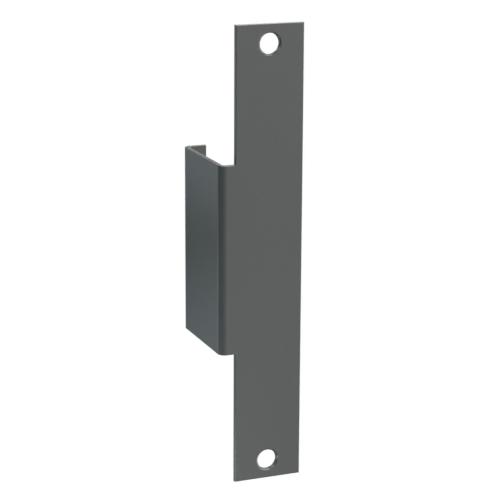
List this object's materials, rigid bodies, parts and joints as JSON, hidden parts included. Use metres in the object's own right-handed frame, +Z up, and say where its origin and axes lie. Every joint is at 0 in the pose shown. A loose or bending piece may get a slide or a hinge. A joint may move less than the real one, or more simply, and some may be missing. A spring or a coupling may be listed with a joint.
{
  "type": "electric strike filler plate",
  "caption": "Folded steel plate that closes an electric strike cut-out: long face, side wall and return lip.",
  "frame": {"origin": "on the back of the face plate, half-way between the two screw holes", "axes": "+X across the face to the right, +Y back into the door frame, +Z up along the plate's length"},
  "size_m": [0.0429, 0.0524, 0.2286],
  "materials": {
    "prime_coat": "satin grey prime coat on steel sheet"
  },
  "bodies": {
    "root": {"filler_plate": "prime_coat"}
  },
  "joints": []
}
